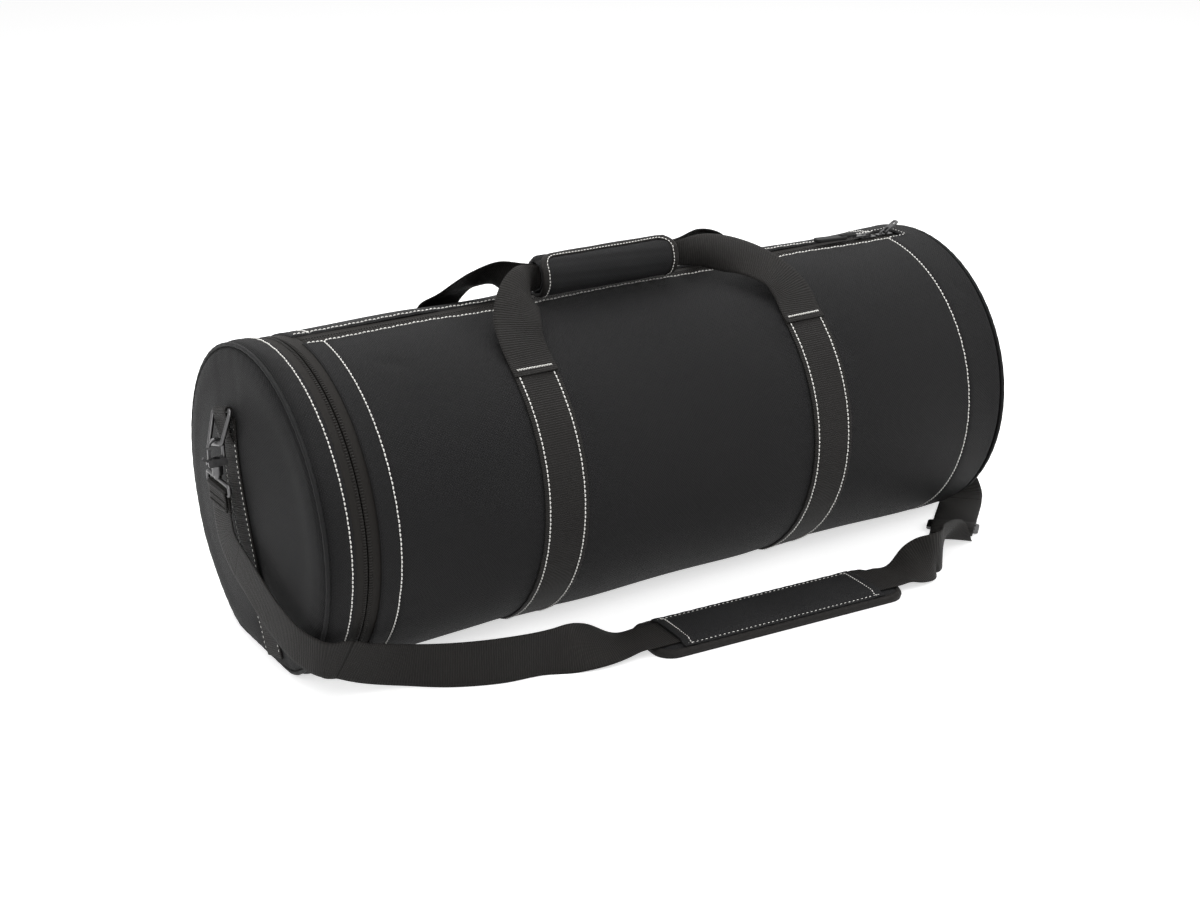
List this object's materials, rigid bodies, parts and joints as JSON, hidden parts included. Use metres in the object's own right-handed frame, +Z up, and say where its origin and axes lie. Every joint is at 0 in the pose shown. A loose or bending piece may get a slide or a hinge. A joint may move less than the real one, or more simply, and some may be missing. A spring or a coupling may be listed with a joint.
{
  "type": "telescope carry case",
  "caption": "Round padded carry case with a zipped end lid, full-length top zip, wrapped carry grip and a detachable padded shoulder strap on snap hooks.",
  "frame": {"origin": "middle of the case's flat underside, on the surface that it stands on", "axes": "+X along the case from the hinged end lid to the closed end, -Y the front face that the shoulder strap lies along, +Z up through the top zip"},
  "size_m": [0.9478, 0.4337, 0.3735],
  "materials": {
    "case_cloth": "coated woven polyester, black, off-white top stitching",
    "foam": "closed-cell foam",
    "lining": "plain nylon lining",
    "piping": "cloth-covered piping cord",
    "webbing": "ribbed polyester webbing",
    "zip_tape": "woven zip tape",
    "zip_coil": "nylon coil",
    "gunmetal": "gunmetal plated zinc",
    "pull_cord": "braided cord",
    "pull_tab": "moulded soft plastic",
    "padded_cloth": "padded polyester",
    "binding": "grosgrain binding tape",
    "pad_backing": "dimpled anti-slip cloth"
  },
  "bodies": {
    "case": {"body_shell": "case_cloth", "body_foam": "foam", "body_lining": "lining", "lid_hinge_strip": "case_cloth", "end_panel": "case_cloth", "end_foam": "foam", "end_lining": "lining", "end_piping": "piping", "end_webbing_right": "webbing", "body_bands": "webbing", "lid_zip_tape_body": "zip_tape", "lid_zip_coil_body": "zip_coil", "lid_zip_ends": "zip_tape", "top_zip_tapes": "zip_tape", "top_zip_coils": "zip_coil", "handle_leg_front_left": "webbing", "handle_leg_front_right": "webbing", "handle_leg_back_left": "webbing", "handle_leg_back_right": "webbing", "strap_floor_left": "webbing", "strap_pad_run": "webbing", "strap_floor_right": "webbing", "strap_leg_right": "webbing", "strap_leg_left": "webbing"},
    "lid": {"lid_panel": "case_cloth", "lid_foam": "foam", "lid_lining": "lining", "lid_piping": "piping", "lid_rim": "case_cloth", "lid_rim_foam": "foam", "lid_zip_tape_lid": "zip_tape", "lid_zip_coil_lid": "zip_coil", "end_webbing_left": "webbing"},
    "slider_a": {"top_slider_a": "gunmetal"},
    "pull_a": {"top_pull_a": "gunmetal", "pull_cord": "pull_cord", "pull_tab": "pull_tab"},
    "slider_b": {"top_slider_b": "gunmetal"},
    "pull_b": {"top_pull_b": "gunmetal"},
    "lid_slider": {"lid_slider": "gunmetal"},
    "lid_pull": {"lid_pull": "gunmetal"},
    "grip": {"handle_core": "webbing", "grip_wrap": "padded_cloth"},
    "grip_flap": {"grip_flap": "padded_cloth", "grip_flap_binding": "binding"},
    "shoulder_pad": {"pad_backing": "pad_backing", "pad_foam": "foam", "pad_cloth": "padded_cloth", "pad_binding": "binding", "pad_sleeve": "padded_cloth"},
    "tri_glide": {"tri_glide": "gunmetal", "glide_webbing": "webbing"},
    "ring_left": {"d_ring_left": "gunmetal"},
    "hook_left": {"snap_hook_left": "gunmetal"},
    "gate_left": {"hook_gate_left": "gunmetal"},
    "eye_left": {"hook_eye_left": "gunmetal"},
    "ring_right": {"d_ring_right": "gunmetal"},
    "hook_right": {"snap_hook_right": "gunmetal"},
    "gate_right": {"hook_gate_right": "gunmetal"},
    "eye_right": {"hook_eye_right": "gunmetal"}
  },
  "joints": [
    {"name": "lid_hinge", "type": "hinge", "parent": "case", "child": "lid", "pos_m": [-0.425, 0, 0.001], "axis": [0, -1, 0], "range_deg": [0, 75], "deforming": ["strap_leg_left"]},
    {"name": "top_zip_a", "type": "slide", "parent": "case", "child": "slider_a", "axis": [-1, 0, 0], "range_m": [0, 0.7]},
    {"name": "top_pull_a_swing", "type": "hinge", "parent": "slider_a", "child": "pull_a", "pos_m": [0.3525, 0, 0.32684], "axis": [0, 1, 0], "range_deg": [-1.5, 110]},
    {"name": "top_zip_b", "type": "slide", "parent": "case", "child": "slider_b", "axis": [-1, 0, 0], "range_m": [0, 0.003]},
    {"name": "top_pull_b_swing", "type": "hinge", "parent": "slider_b", "child": "pull_b", "pos_m": [0.3775, 0, 0.32684], "axis": [0, -1, 0], "range_deg": [-25, 85]},
    {"name": "grip_lift", "type": "slide", "parent": "case", "child": "grip", "axis": [0, 0, 1], "range_m": [0, 0.04], "deforming": ["handle_leg_front_left", "handle_leg_front_right", "handle_leg_back_left", "handle_leg_back_right"]},
    {"name": "grip_flap_hinge", "type": "hinge", "parent": "grip", "child": "grip_flap", "pos_m": [-0.023, -0.018, 0.3315], "axis": [1, 0, 0], "range_deg": [0, 46]},
    {"name": "pad_slide", "type": "slide", "parent": "case", "child": "shoulder_pad", "axis": [0.9981, -0.061, 0], "range_m": [-0.015, 0.015]},
    {"name": "glide_slide", "type": "slide", "parent": "case", "child": "tri_glide", "axis": [-0.7413, -0.6712, 0], "range_m": [-0.045, 0.012]},
    {"name": "lid_zip_run", "type": "hinge", "parent": "case", "child": "lid_slider", "pos_m": [-0.381, 0, 0.156], "axis": [1, 0, 0], "range_deg": [0, 286.3]},
    {"name": "lid_pull_swing", "type": "hinge", "parent": "lid_slider", "child": "lid_pull", "pos_m": [-0.381, 0.10296, 0.01872], "axis": [1, 0, 0], "range_deg": [0, 120]},
    {"name": "ring_left_hinge", "type": "hinge", "parent": "lid", "child": "ring_left", "pos_m": [-0.44021, 0.02718, 0.25742], "axis": [0, 0.9659, -0.2588], "range_deg": [0, 50]},
    {"name": "hook_left_swing", "type": "hinge", "parent": "ring_left", "child": "hook_left", "pos_m": [-0.45294, 0.01902, 0.22697], "axis": [0, 1, 0], "range_deg": [0, 40]},
    {"name": "hook_left_gate", "type": "hinge", "parent": "hook_left", "child": "gate_left", "pos_m": [-0.46044, 0.01902, 0.20847], "axis": [0, 1, 0], "range_deg": [0, 22], "stiffness_Nm_per_rad": 0.01, "springref_deg": -17.19},
    {"name": "hook_left_swivel", "type": "hinge", "parent": "hook_left", "child": "eye_left", "pos_m": [-0.45294, 0.01902, 0.19497], "axis": [0, 0, 1], "range_deg": [-20, 20]},
    {"name": "ring_right_hinge", "type": "hinge", "parent": "case", "child": "ring_right", "pos_m": [0.44021, 0.02718, 0.25742], "axis": [0, -0.9659, 0.2588], "range_deg": [0, 50], "deforming": ["strap_leg_right"]},
    {"name": "hook_right_swing", "type": "hinge", "parent": "ring_right", "child": "hook_right", "pos_m": [0.45294, 0.01902, 0.22697], "axis": [0, -1, 0], "range_deg": [0, 40]},
    {"name": "hook_right_gate", "type": "hinge", "parent": "hook_right", "child": "gate_right", "pos_m": [0.46044, 0.01902, 0.20847], "axis": [0, -1, 0], "range_deg": [0, 22], "stiffness_Nm_per_rad": 0.01, "springref_deg": -17.19},
    {"name": "hook_right_swivel", "type": "hinge", "parent": "hook_right", "child": "eye_right", "pos_m": [0.45294, 0.01902, 0.19497], "axis": [0, 0, 1], "range_deg": [-20, 20]}
  ]
}
